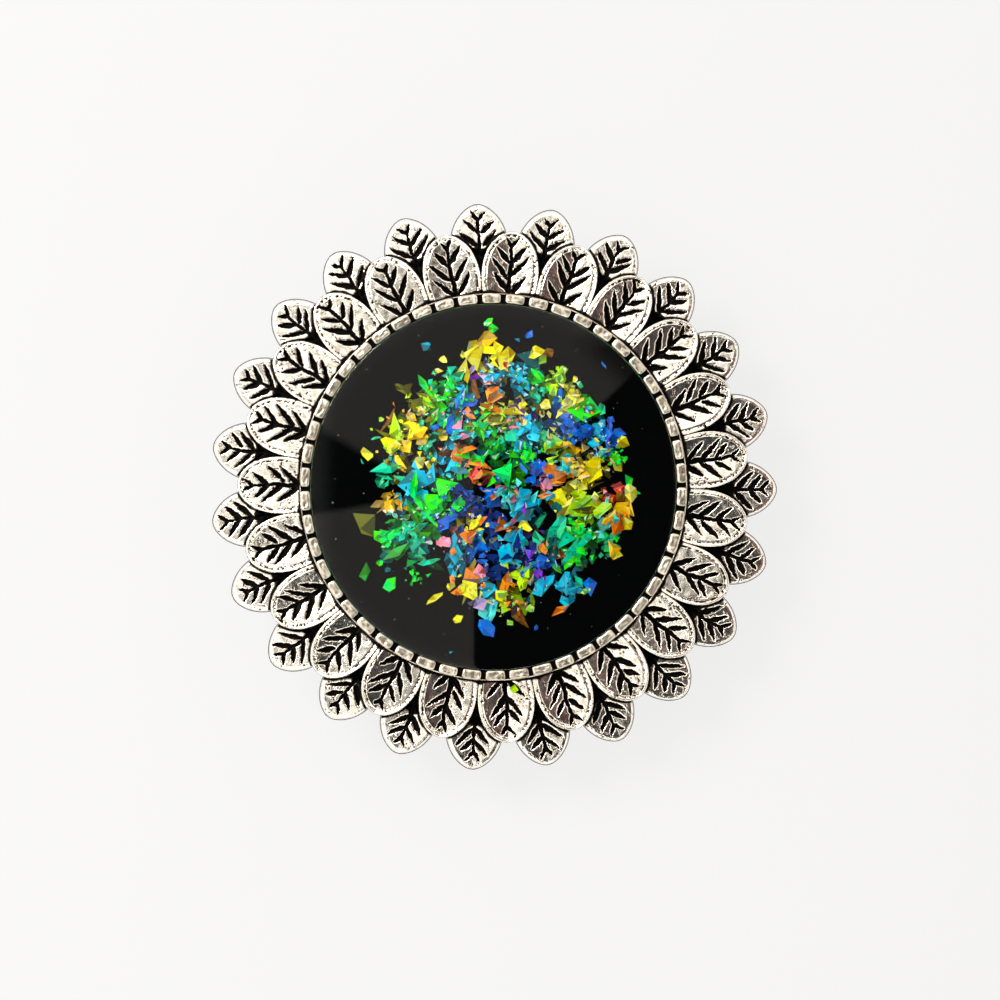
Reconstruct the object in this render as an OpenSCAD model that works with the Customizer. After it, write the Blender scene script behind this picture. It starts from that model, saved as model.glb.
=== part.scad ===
// Round leaf brooch: a cast setting with two rows of leaves around a notched bezel, a resin
// cabochon with film flakes cast in it, and a bar pin with a turning safety lock on the back.
// It lies face up. +Z is the way the face looks, +X runs along the pin from its hinge to its
// lock, and the origin is on the round axis, level with the lowest point of the pin back.

/* [Cabochon] */
// Diameter of the resin cabochon
cab_d = 30; // [25:0.5:36]
// Thickness of its black layer
base_t = 1.1; // [0.8:0.1:1.5]
// Thickness of its clear layer at the edge
clear_edge_t = 1.3; // [1.2:0.05:1.7]
// Rise of the dome from its edge to its crown
dome_rise = 1.3; // [0.8:0.05:2.2]
// Thickness of the glue film under the cabochon
cab_glue_t = 0.12; // [0.08:0.01:0.2]
// Free space all round the cabochon in its tray
cab_clearance = 0.05; // [0.02:0.01:0.15]

/* [Setting] */
// Thickness of the tray floor
floor_t = 1; // [0.8:0.1:1.5]
// Thickness of the bezel wall
bezel_wall = 0.78; // [0.65:0.01:1.1]
// Height of the bezel above the cabochon's edge
bezel_stand = 0.12; // [0.05:0.01:0.4]
// Number of notches round the bezel
notch_count = 50; // [30:1:60]
// Direction of the middle of one notch, in degrees from +X
notch_turn = 0.6; // [0:0.1:7]
// Width of one notch
notch_w = 0.5; // [0.35:0.01:0.6]
// Depth of one notch below the top of the bezel
notch_depth = 0.6; // [0.3:0.05:0.8]
// Thickness of the lip that closes the notches on the outside
lip_t = 0.16; // [0.12:0.01:0.2]
// Drop of the lip below the top of the bezel
lip_drop = 0.25; // [0.1:0.05:0.3]

/* [Leaves] */
// Number of leaves in each row
leaf_count = 23; // [16:1:23]
// Direction of one tip of the upper row, in degrees from +X
upper_turn = 7.3; // [0:0.1:15]
// Distance from a leaf's tip to its widest place, upper row
upper_half_len = 3.5; // [3:0.1:4]
// Distance from a leaf's tip to its widest place, outer row
outer_half_len = 3.3; // [3:0.1:4]
// Distance from the bezel to the tips of the upper row
upper_reach = 5.2; // [4.2:0.1:6.2]
// Width of an upper leaf
upper_w = 4.6; // [3.8:0.1:4.8]
// Thickness of an upper leaf
upper_t = 1.3; // [1:0.1:1.5]
// Distance from the bezel to the tips of the outer row
outer_reach = 7.4; // [6.4:0.1:8.8]
// Width of an outer leaf
outer_w = 4.3; // [3.5:0.1:4.8]
// Thickness of an outer leaf
outer_t = 1.1; // [0.9:0.1:1.3]
// Depth of the trough along the middle of a leaf
trough_depth = 0.3; // [0.15:0.05:0.4]
// Width of a vein groove at the top
vein_w = 0.34; // [0.2:0.02:0.4]
// Distance between two side veins along the midrib
vein_step = 1.1; // [0.8:0.05:1.3]
// Slope of a side vein to the midrib, in degrees
vein_lean = 42; // [30:1:55]

/* [Pin back] */
// Length of the bar
bar_len = 27; // [25:0.5:32]
// Width of the bar
bar_w = 5; // [4.6:0.1:6]
// Thickness of the bar
bar_t = 0.7; // [0.6:0.05:0.9]
// Thickness of the glue between the bar and the setting
bar_glue_t = 0.15; // [0.1:0.01:0.25]
// Diameter of the glue holes in the bar
glue_hole_d = 1.9; // [1.5:0.1:2.2]
// Distance from the bar's face to the middle of the stem
stem_drop = 2.2; // [2:0.05:2.6]
// Diameter of the stem
stem_d = 0.9; // [0.8:0.05:1]
// Length of the stem's tapered point
point_len = 5.2; // [4.6:0.1:6]
// Diameter of the hinge rivet
rivet_d = 1.2; // [1:0.05:1.3]
// Thickness of one ear of the hinge
ear_t = 0.6; // [0.5:0.05:0.7]
// Length of the catch sleeve
catch_len = 2.6; // [2.2:0.1:3]
// Thickness of the catch sleeve's wall
catch_wall = 0.5; // [0.4:0.05:0.5]
// Free radius between a turning piece and what it turns in
turn_clearance = 0.05; // [0.03:0.01:0.08]
// Free space beside a turning piece
side_clearance = 0.12; // [0.08:0.01:0.2]

/* [Flakes] */
// Number of flakes in the resin
flake_count = 170; // [80:10:200]
// Radius of the round area that most flakes lie in
flake_area_r = 10.6; // [8:0.1:12]
// Mean size of a flake
flake_size = 1.5; // [0.8:0.1:1.6]

/* [Hidden] */
$fn = 96;
over = 0.5;                                  // how far a cutter runs past what it cuts

// The pin back, from its lowest point up
stem_play = 0.3;                             // between the stem and the lock's bore, all round
barrel_bore_d = stem_d + 2 * stem_play;
barrel_wall = 0.55;
barrel_r = barrel_bore_d / 2 + barrel_wall;
catch_bore_r = barrel_r + turn_clearance;
catch_r = catch_bore_r + catch_wall;
collar_t = 0.6;
collar_r = catch_r - 0.1;
mouth_w = stem_d + stem_play;
eye_wall = 0.75;
ear_wall = 0.8;
eye_r = rivet_d / 2 + eye_wall;
ear_r = rivet_d / 2 + ear_wall;
mouth_edge_z = sqrt(catch_r * catch_r - mouth_w * mouth_w / 4);
stem_z = max(mouth_edge_z, ear_r);           // it lies on the catch's mouth or on the ears
bar_z = stem_z + stem_drop;                  // the bar's lower face
back_z = bar_z + bar_t + bar_glue_t;         // the flat back of the setting
hinge_inset = 2.5;                           // from the bar's end to the rivet
catch_inset = 2;                             // from the bar's other end to the catch
hinge_x = -(bar_len / 2 - hinge_inset);
catch_x = bar_len / 2 - catch_inset - catch_len;  // the catch's inner end
point_past = 0.5;                            // how far the point stands out of the lock
point_d = 0.12;                              // the blunted end of the point
stem_end_x = catch_x + catch_len + collar_t + side_clearance + point_past;
point_x = stem_end_x - point_len;            // where the stem begins to taper
eye_t = stem_d + 0.6;
ear_y = eye_t / 2 + side_clearance;          // an ear's inner face
rivet_head_lap = 0.35;                       // how far a rivet's head reaches past its hole
rivet_head_h = 0.35;
foot_w = 2.4;                                // the catch's foot on the bar
tab_reach = 3;
tab_w = 1.5;
tab_turn = 15;                               // the thumb tab's slope below +Y at rest
glue_hole_x = bar_len / 5;
glue_head_r = glue_hole_d / 2 + 0.4;
glue_head_h = 0.25;
bar_glue_inset = 0.4;                        // the glue stops short of the bar's edge

// The setting and the cabochon, from the back up
cab_glue_inset = 0.8;                        // the glue stops short of the cabochon's edge
cab_r = cab_d / 2;
tray_r = cab_r + cab_clearance;
bezel_r = tray_r + bezel_wall;
tray_z = back_z + floor_t;
base_z = tray_z + cab_glue_t;
clear_z = base_z + base_t;
edge_z = clear_z + clear_edge_t;
crown_z = edge_z + dome_rise;
dome_r = (cab_r * cab_r + dome_rise * dome_rise) / (2 * dome_rise);
bezel_z = edge_z + bezel_stand;
leaf_step = 360 / leaf_count;
upper_tip_r = bezel_r + upper_reach;
outer_tip_r = bezel_r + outer_reach;
row_bite = 0.15;                             // how deep the upper row sinks into the outer one
outer_z = back_z + outer_t;
upper_z = outer_z + upper_t - row_bite;
root_r = tray_r + bezel_wall / 2;            // leaves and web end inside the bezel's wall
web_reach = 2.6;                             // the thin web that ties the leaves together
web_r = bezel_r + web_reach;
web_t = 0.7;
web_lift = 0.3;                              // the web sits in a little from the flat back
upper_pairs = 4;                             // pairs of side veins on a leaf
outer_pairs = 3;
tip_blunt = 0.6;                             // how much of a leaf's pointed end is rounded off
rib_short = 0.9;                             // from the end of the midrib groove to the leaf's tip
first_vein = 1;                              // from there to the outermost pair of side veins
rib_extra = 0.1;                             // the midrib is cut this much deeper than the side veins
vein_extra = 0.25;                           // and those this much deeper than the trough
trough_share = 0.9;                          // the trough's width, as a share of the leaf's
vein_share = 0.36;                           // a side vein's length, as a share of the leaf's width

// The flakes: colour zones are [x, y, family], and a flake takes the nearest zone's family
gold = 0;
orange = 1;
lime = 2;
green = 3;
teal = 4;
cyan = 5;
blue = 6;
violet = 7;
zones = [
    [0, 13, green], [0, 11, gold], [3, 11, gold], [-2, 8.5, teal], [1, 8.5, cyan], [4, 8, green],
    [-7, 4.5, gold], [-7, 2, teal], [-3, 5, violet], [0, 5, green], [2, 3, cyan], [7.5, 6.5, green],
    [9, 4, blue], [-2, 2, orange], [-5, -1, green], [0.5, -1, blue], [5, 1, orange], [8.5, 0.5, lime],
    [10, -2.5, orange], [-9, -5, teal], [-4, -4, cyan], [0, -5, blue], [5, -4.5, green], [7, -3, lime],
    [-2, -8, cyan], [1, -7.5, violet], [4, -7.5, teal], [6, -8.5, cyan], [0, -10.5, blue],
    [-6, -7, green], [-11, -3, lime]
];
flake_t = 0.05;
flake_levels = 9;
flake_cover = 0.15;                          // clear resin under the lowest flake and over the highest
flake_low = clear_z + flake_cover;
flake_step = (clear_edge_t - 2 * flake_cover) / flake_levels;
golden_turn = 137.508;
spot_seed = 300;
reach_seed = 500;
lean_seed = 700;
size_seed = 900;
stray_size = 0.9;
stray_reach = 0.9;                           // from the bezel to the chip on the metal
stray_turn = upper_turn - 6 * leaf_step + 2.5;

function distance2(a, b) = (a[0] - b[0]) * (a[0] - b[0]) + (a[1] - b[1]) * (a[1] - b[1]);
function nearest(p) =
    let (d = [for (z = zones) distance2(p, z)]) zones[search(min(d), d)[0]][2];
function flake_spot(i) =
    let (
        r = flake_area_r * sqrt((i + 0.5) / flake_count),
        out = rands(0.94, 1.1, 1, spot_seed + i)[0],
        a = i * golden_turn
    ) [r * out * cos(a), r * out * sin(a)];
function flake_points(i, size) =
    let (
        corners = 3 + i % 3,
        reach = rands(0.34, 0.62, corners, reach_seed + i),
        lean = rands(-25, 25, corners, lean_seed + i)
    ) [
        for (k = [0 : corners - 1])
            let (a = 360 * k / corners + lean[k]) size * reach[k] * [cos(a), sin(a)]
    ];

// A straight V-shaped groove that starts at the origin, runs along +X and is open upwards
module groove(length, width, depth) {
    rise = 1.5;
    rotate([90, 0, 90]) linear_extrude(length)
        polygon([[-width / 2 * (1 + rise), depth * rise], [width / 2 * (1 + rise), depth * rise],
                 [0, -depth]]);
}

// A leaf's outline along +X: two side arcs that meet in a blunted tip at tip_r
module leaf_outline(tip_r, width, half_len) {
    half_w = width / 2;
    full_len = half_len + tip_blunt;
    side_r = (full_len * full_len + half_w * half_w) / (2 * half_w);
    difference() {
        intersection() {
            translate([tip_r - half_len, side_r - half_w]) circle(side_r);
            translate([tip_r - half_len, half_w - side_r]) circle(side_r);
            translate([tip_r - half_len, 0]) circle(half_len);
        }
        circle(root_r);
    }
}

// A leaf along +X with a trough, a midrib groove and pairs of slanted side veins
module leaf(tip_r, width, half_len, thick, top_z, pairs) {
    vein_depth = trough_depth + vein_extra;
    rib_end = tip_r - rib_short;
    difference() {
        translate([0, 0, top_z - thick]) linear_extrude(thick) leaf_outline(tip_r, width, half_len);
        translate([tray_r, 0, top_z]) groove(tip_r, trough_share * width, trough_depth);
        translate([tray_r, 0, top_z]) groove(rib_end - tray_r, vein_w, vein_depth + rib_extra);
        for (k = [0 : pairs - 1], side = [-1, 1])
            translate([rib_end - first_vein - k * vein_step, 0, top_z])
                rotate([0, 0, side * vein_lean]) groove(vein_share * width, vein_w, vein_depth);
    }
}

module leaf_row(turn, tip_r, width, half_len, thick, top_z, pairs) {
    for (k = [0 : leaf_count - 1])
        rotate([0, 0, turn + k * leaf_step]) leaf(tip_r, width, half_len, thick, top_z, pairs);
}

module bezel() {
    difference() {
        translate([0, 0, back_z]) cylinder(r = bezel_r, h = bezel_z - back_z);
        translate([0, 0, tray_z]) cylinder(r = tray_r, h = crown_z);
        translate([0, 0, bezel_z - lip_drop]) difference() {
            cylinder(r = bezel_r + over, h = lip_drop + over);
            translate([0, 0, -over]) cylinder(r = bezel_r - lip_t, h = lip_drop + 3 * over);
        }
        for (k = [0 : notch_count - 1])
            rotate([0, 0, notch_turn + k * 360 / notch_count])
                translate([tray_r - over, -notch_w / 2, bezel_z - notch_depth])
                    cube([bezel_wall - lip_t + over, notch_w, notch_depth + over]);
    }
}

module setting() {
    color("silver") union() {
        bezel();
        translate([0, 0, back_z + web_lift]) difference() {
            cylinder(r = web_r, h = web_t);
            translate([0, 0, -over]) cylinder(r = root_r, h = web_t + 2 * over);
        }
        leaf_row(upper_turn - leaf_step / 2, outer_tip_r, outer_w, outer_half_len,
                 outer_t, outer_z, outer_pairs);
        leaf_row(upper_turn, upper_tip_r, upper_w, upper_half_len, upper_t, upper_z, upper_pairs);
    }
}

module cabochon_glue() {
    color("khaki") translate([0, 0, tray_z]) cylinder(r = cab_r - cab_glue_inset, h = cab_glue_t);
}

module black_base() {
    color([0.03, 0.03, 0.03]) translate([0, 0, base_z]) cylinder(r = cab_r, h = base_t);
}

module clear_dome() {
    color([0.8, 0.85, 0.9, 0.3]) rotate_extrude() intersection() {
        translate([0, clear_z]) square([cab_r, clear_edge_t + dome_rise]);
        translate([0, crown_z - dome_r]) circle(dome_r, $fn = 1440);
    }
}

// All the flakes of one family, each on its own level so that no two of them meet
module flakes(family) {
    for (i = [0 : flake_count - 1])
        if (nearest(flake_spot(i)) == family) {
            spot = flake_spot(i);
            size = flake_size * rands(0.7, 1.3, 1, size_seed + i)[0];
            translate([spot[0], spot[1], flake_low + (i % flake_levels) * flake_step])
                linear_extrude(flake_t) polygon(flake_points(i, size));
        }
}

module flakes_gold() { color("gold") flakes(gold); }
module flakes_orange() { color("orangered") flakes(orange); }
module flakes_lime() { color("greenyellow") flakes(lime); }
module flakes_green() { color("limegreen") flakes(green); }
module flakes_teal() { color("lightseagreen") flakes(teal); }
module flakes_cyan() { color("deepskyblue") flakes(cyan); }
module flakes_blue() { color("mediumblue") flakes(blue); }
module flakes_violet() { color("plum") flakes(violet); }

// One chip that missed the resin and stuck to the foot of an upper leaf
module stray_flake() {
    sink = trough_depth;                     // it reaches the bottom of the leaf's trough
    color("limegreen") rotate([0, 0, stray_turn])
        translate([bezel_r + stray_reach, 0, upper_z - sink])
            linear_extrude(flake_t + sink) polygon(flake_points(1, stray_size));
}

module round_bar(length, width, thick) {
    linear_extrude(thick) {
        square([length - width, width], center = true);
        for (side = [-1, 1]) translate([side * (length - width) / 2, 0]) circle(d = width);
    }
}

module pin_bar() {
    color("gainsboro") difference() {
        union() {
            translate([0, 0, bar_z]) round_bar(bar_len, bar_w, bar_t);
            for (side = [-1, 1])
                translate([hinge_x, side * (ear_y + ear_t / 2), stem_z])
                    rotate([90, 0, 0]) linear_extrude(ear_t, center = true) {
                        circle(ear_r);
                        translate([-ear_r, 0]) square([2 * ear_r, stem_drop + bar_t / 2]);
                    }
        }
        translate([hinge_x, 0, stem_z]) rotate([90, 0, 0])
            cylinder(d = rivet_d, h = bar_w, center = true);
        for (side = [-1, 1])
            translate([side * glue_hole_x, 0, bar_z - over]) cylinder(d = glue_hole_d, h = bar_t + 2 * over);
    }
}

module bar_glue() {
    color("khaki") union() {
        translate([0, 0, bar_z + bar_t])
            round_bar(bar_len - 2 * bar_glue_inset, bar_w - 2 * bar_glue_inset, bar_glue_t);
        for (side = [-1, 1]) translate([side * glue_hole_x, 0, bar_z - glue_head_h]) {
            cylinder(d = glue_hole_d, h = bar_t + glue_head_h + bar_glue_t);
            cylinder(r = glue_head_r, h = glue_head_h);
        }
    }
}

module hinge_rivet() {
    head_r = rivet_d / 2 + rivet_head_lap;
    span = 2 * (ear_y + ear_t);
    color("silver") translate([hinge_x, 0, stem_z]) rotate([90, 0, 0]) union() {
        cylinder(d = rivet_d, h = span, center = true);
        for (side = [-1, 1])
            translate([0, 0, side * (span + rivet_head_h) / 2])
                cylinder(r = head_r, h = rivet_head_h, center = true);
    }
}

module pin_stem() {
    shank_x = hinge_x + (rivet_d + eye_wall) / 2;    // the shank starts inside the eye's wall
    color("silver") translate([0, 0, stem_z]) difference() {
        union() {
            translate([hinge_x, 0, 0]) rotate([90, 0, 0]) cylinder(r = eye_r, h = eye_t, center = true);
            translate([shank_x, 0, 0]) rotate([0, 90, 0]) cylinder(d = stem_d, h = point_x - shank_x);
            translate([point_x, 0, 0]) rotate([0, 90, 0]) cylinder(d1 = stem_d, d2 = point_d, h = point_len);
        }
        translate([hinge_x, 0, 0]) rotate([90, 0, 0])
            cylinder(r = rivet_d / 2 + turn_clearance, h = eye_t + 2 * over, center = true);
    }
}

module catch() {
    color("gainsboro") translate([catch_x, 0, stem_z]) difference() {
        union() {
            rotate([0, 90, 0]) cylinder(r = catch_r, h = catch_len);
            translate([0, -foot_w / 2, 0]) cube([catch_len, foot_w, stem_drop]);
        }
        translate([-over, 0, 0]) rotate([0, 90, 0]) cylinder(r = catch_bore_r, h = catch_len + 2 * over);
        translate([-over, -mouth_w / 2, -catch_r - over])
            cube([catch_len + 2 * over, mouth_w, catch_r + over]);
    }
}

module lock_barrel() {
    barrel_len = catch_len + 2 * (side_clearance + collar_t);
    color("silver") translate([catch_x - side_clearance - collar_t, 0, stem_z]) difference() {
        union() {
            rotate([0, 90, 0]) cylinder(r = barrel_r, h = barrel_len);
            for (x = [0, barrel_len - collar_t])
                translate([x, 0, 0]) rotate([0, 90, 0]) cylinder(r = collar_r, h = collar_t);
            translate([barrel_len - collar_t, 0, 0]) rotate([-tab_turn, 0, 0]) {
                translate([0, 0, -tab_w / 2]) cube([collar_t, tab_reach - tab_w / 2, tab_w]);
                translate([0, tab_reach - tab_w / 2, 0]) rotate([0, 90, 0])
                    cylinder(d = tab_w, h = collar_t);
            }
        }
        translate([-over, 0, 0]) rotate([0, 90, 0])
            cylinder(d = barrel_bore_d, h = barrel_len + 2 * over);
        translate([-over, -mouth_w / 2, -catch_r - over])
            cube([barrel_len + 2 * over, mouth_w, catch_r + over]);
    }
}

setting();
cabochon_glue();
black_base();
clear_dome();
flakes_gold();
flakes_orange();
flakes_lime();
flakes_green();
flakes_teal();
flakes_cyan();
flakes_blue();
flakes_violet();
stray_flake();
pin_bar();
bar_glue();
hinge_rivet();
pin_stem();
catch();
lock_barrel();
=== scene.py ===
import math

import bpy
import numpy as np
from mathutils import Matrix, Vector


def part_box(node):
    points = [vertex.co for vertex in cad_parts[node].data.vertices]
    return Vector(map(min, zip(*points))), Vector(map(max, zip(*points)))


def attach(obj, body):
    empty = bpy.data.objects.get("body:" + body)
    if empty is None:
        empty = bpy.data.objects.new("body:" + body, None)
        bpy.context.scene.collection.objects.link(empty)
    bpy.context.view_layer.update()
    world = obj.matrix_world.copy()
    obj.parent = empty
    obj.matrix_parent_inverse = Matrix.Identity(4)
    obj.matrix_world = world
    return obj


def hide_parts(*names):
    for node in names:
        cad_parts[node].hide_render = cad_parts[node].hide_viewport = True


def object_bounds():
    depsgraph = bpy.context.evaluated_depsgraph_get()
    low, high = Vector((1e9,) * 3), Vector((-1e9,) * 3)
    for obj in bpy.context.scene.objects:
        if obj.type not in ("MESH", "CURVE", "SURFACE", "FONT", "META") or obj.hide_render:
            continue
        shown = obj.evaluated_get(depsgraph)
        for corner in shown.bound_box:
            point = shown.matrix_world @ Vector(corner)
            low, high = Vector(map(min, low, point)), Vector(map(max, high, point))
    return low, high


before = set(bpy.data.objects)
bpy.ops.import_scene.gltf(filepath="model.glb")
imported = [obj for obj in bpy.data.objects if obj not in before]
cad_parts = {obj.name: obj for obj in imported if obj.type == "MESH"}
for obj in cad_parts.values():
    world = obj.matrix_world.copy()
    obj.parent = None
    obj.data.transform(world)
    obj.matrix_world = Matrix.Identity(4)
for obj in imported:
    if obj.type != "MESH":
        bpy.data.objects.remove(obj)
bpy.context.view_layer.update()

mm = 0.001
print("frame loaded:", len(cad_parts), "nodes")

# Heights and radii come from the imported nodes, in millimetres
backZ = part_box("setting")[0].z / mm
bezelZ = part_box("setting")[1].z / mm
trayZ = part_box("cabochon_glue")[0].z / mm
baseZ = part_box("black_base")[0].z / mm
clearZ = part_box("clear_dome")[0].z / mm
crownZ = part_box("clear_dome")[1].z / mm
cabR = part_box("black_base")[1].x / mm

bezel = {
    "wall": 0.78, "clearance": 0.05, "bricks": 50, "brickTurn": 4.2, "gap": 0.36,
    "brickIn": 15.02, "brickOut": 15.79, "brickDeep": 0.75, "brickRound": 0.23,
    "lipWide": 0.09, "lipDrop": 0.3, "notchDeep": 0.62, "lipBlack": 0.08, "lipMottle": 0.42,
    "dent": 0.07, "fineDent": 0.06, "hollow": 0.03, "hollowBlack": 0.3, "spotBlack": 0.42,
    "sideShade": 0.9,
}
trayR = cabR + bezel["clearance"]
bezelR = trayR + bezel["wall"]
rootR = trayR + bezel["wall"] / 2


# Small tools for numbers and meshes
def smooth(x):
    x = np.clip(x, 0.0, 1.0)
    return x * x * (3 - 2 * x)


def ramp(x, low, high):
    return smooth((x - low) / (high - low))


def grain(x, y, size, seed):
    # soft random field between 0 and 1 whose lumps are about size wide
    table = np.random.default_rng(seed).random((64, 64))
    u, v = x / size + 1000.5, y / size + 1000.5
    iu, iv = np.floor(u).astype(int), np.floor(v).astype(int)
    fu, fv = smooth(u - iu), smooth(v - iv)
    iu, iv, ju, jv = iu % 64, iv % 64, (iu + 1) % 64, (iv + 1) % 64
    low = table[iu, iv] * (1 - fu) + table[ju, iv] * fu
    high = table[iu, jv] * (1 - fu) + table[ju, jv] * fu
    return low * (1 - fv) + high * fv


def turned(points, degrees):
    c, s = math.cos(math.radians(degrees)), math.sin(math.radians(degrees))
    out = points.copy()
    out[:, 0] = points[:, 0] * c - points[:, 1] * s
    out[:, 1] = points[:, 0] * s + points[:, 1] * c
    return out


def sheetFaces(rows, cols, first=0, closed=False):
    # quads between the rows of a grid, the last column joined to the first when closed
    r, c = np.meshgrid(np.arange(rows - 1), np.arange(cols if closed else cols - 1), indexing="ij")
    d = (c + 1) % cols
    quads = np.stack([r * cols + c, r * cols + d, (r + 1) * cols + d, (r + 1) * cols + c], -1)
    return quads.reshape(-1, 4) + first


class Heap:
    # gathers the shells of one piece
    def __init__(self):
        self.points, self.faces, self.values, self.count = [], [], [], 0

    def add(self, points, faces, values=None):
        self.points.append(points)
        self.faces.extend((np.asarray(f) + self.count).tolist() for f in faces)
        self.values.append(np.zeros(len(points)) if values is None else values)
        self.count += len(points)


def makePiece(name, heap, material, nodeName, body="brooch", flat=False):
    mesh = bpy.data.meshes.new(name)
    mesh.from_pydata((np.concatenate(heap.points) * mm).tolist(), [], heap.faces)
    values = mesh.attributes.new("oxideAndShade", "FLOAT", "POINT")
    values.data.foreach_set("value", np.concatenate(heap.values).astype(np.float32))
    mesh.polygons.foreach_set("use_smooth", [not flat] * len(mesh.polygons))
    mesh.materials.append(material)
    mesh.update()
    piece = bpy.data.objects.new(name, mesh)
    bpy.context.scene.collection.objects.link(piece)
    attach(piece, body)
    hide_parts(nodeName)
    return piece


def crisp(profile, closed, near=0.02):
    # extra rings just beside each corner keep the flats flat under smooth shading
    profile = [np.array(p, float) for p in profile]
    pairs = list(zip(profile, profile[1:] + profile[:1]))
    out = []
    for p, q in pairs if closed else pairs[:-1]:
        out.append(p)
        long = np.linalg.norm(q - p)
        if long > 6 * near:
            out += [p + (q - p) * near / long, q - (q - p) * near / long]
    return np.array(out if closed else out + [profile[-1]])


def lathe(profile, steps=256, ready=False):
    # profile: closed list of (radius, z) round a section
    profile = np.asarray(profile) if ready else crisp(profile, True)
    angles = np.linspace(0, 2 * np.pi, steps, endpoint=False)
    ring = np.stack([np.cos(angles), np.sin(angles)], -1)
    points = np.zeros((len(profile), steps, 3))
    points[:, :, :2] = profile[:, None, :1] * ring[None]
    points[:, :, 2] = profile[:, 1:]
    rows = len(profile)
    faces = sheetFaces(rows, steps, closed=True)
    c = np.arange(steps)
    d = (c + 1) % steps
    close = np.stack([(rows - 1) * steps + c, (rows - 1) * steps + d, d, c], -1)
    return points.reshape(-1, 3), np.concatenate([faces, close])


def solidLathe(profile, steps=256):
    # profile: open list of (radius, z) that starts and ends on the axis
    inner = crisp(profile[1:-1], False)
    points, faces = lathe(inner, steps, ready=True)
    faces = faces[: (len(inner) - 1) * steps].tolist()
    points = np.vstack([points, [[0, 0, profile[0][1]], [0, 0, profile[-1][1]]]])
    start, end = len(points) - 2, len(points) - 1
    last = (len(inner) - 1) * steps
    for c in range(steps):
        d = (c + 1) % steps
        faces.append([start, d, c])
        faces.append([end, last + c, last + d])
    return points, faces


# Node helpers for materials
def newMaterial(name):
    material = bpy.data.materials.new(name)
    material.use_nodes = True
    tree = material.node_tree
    shader = next(n for n in tree.nodes if n.type == "BSDF_PRINCIPLED")
    return material, tree, shader


def node(tree, kind, **settings):
    made = tree.nodes.new(kind)
    for key, value in settings.items():
        if key in made.inputs:
            made.inputs[key].default_value = value
        else:
            setattr(made, key, value)
    return made


def noise(tree, scale, detail=4.0, rough=0.6, coords=None):
    made = node(tree, "ShaderNodeTexNoise", Scale=scale, Detail=detail, Roughness=rough)
    coords = coords or node(tree, "ShaderNodeTexCoord")
    tree.links.new(coords.outputs["Object"], made.inputs["Vector"])
    return made.outputs["Fac"]


def fit(tree, source, low, high, toLow=0.0, toHigh=1.0):
    made = node(tree, "ShaderNodeMapRange")
    tree.links.new(source, made.inputs["Value"])
    for key, value in (("From Min", low), ("From Max", high), ("To Min", toLow), ("To Max", toHigh)):
        made.inputs[key].default_value = value
    return made.outputs["Result"]


def reckon(tree, kind, a, b):
    made = node(tree, "ShaderNodeMath", operation=kind)
    for socket, value in zip(made.inputs, (a, b)):
        if isinstance(value, (int, float)):
            socket.default_value = value
        else:
            tree.links.new(value, socket)
    return made.outputs[0]


def blendColours(tree, factor, a, b):
    made = node(tree, "ShaderNodeMix", data_type="RGBA")
    tree.links.new(factor, made.inputs[0])
    for socket, value in ((made.inputs[6], a), (made.inputs[7], b)):
        if isinstance(value, tuple):
            socket.default_value = (*value, 1)
        else:
            tree.links.new(value, socket)
    return made.outputs[2]


def bump(tree, height, strength, distance):
    made = node(tree, "ShaderNodeBump", Strength=strength, Distance=distance)
    tree.links.new(height, made.inputs["Height"])
    return made.outputs["Normal"]


# Antique silver: bright plate, black where the attribute value is high: real oxide in the grooves and pits,
# painted shade at the roots, down the sides and between parts; a grey-brown wash at low values, partly
# tarnish and partly painted shade
silver = {
    "bright": (0.95, 0.92, 0.865), "warm": (0.80, 0.73, 0.63), "oxide": (0.0025, 0.002, 0.002),
    "washAndShade": (0.42, 0.37, 0.295), "stain": (0.10, 0.055, 0.03), "washShadeFrom": 0.03, "washShadeTo": 0.3,
    "pitSize": 0.09, "smearSize": 0.5, "roughLow": 0.1, "roughHigh": 0.22,
    "bump": 0.25, "bumpDeep": 0.03, "brickTint": (0.62, 0.59, 0.53), "brickDull": 0.16,
}


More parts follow.
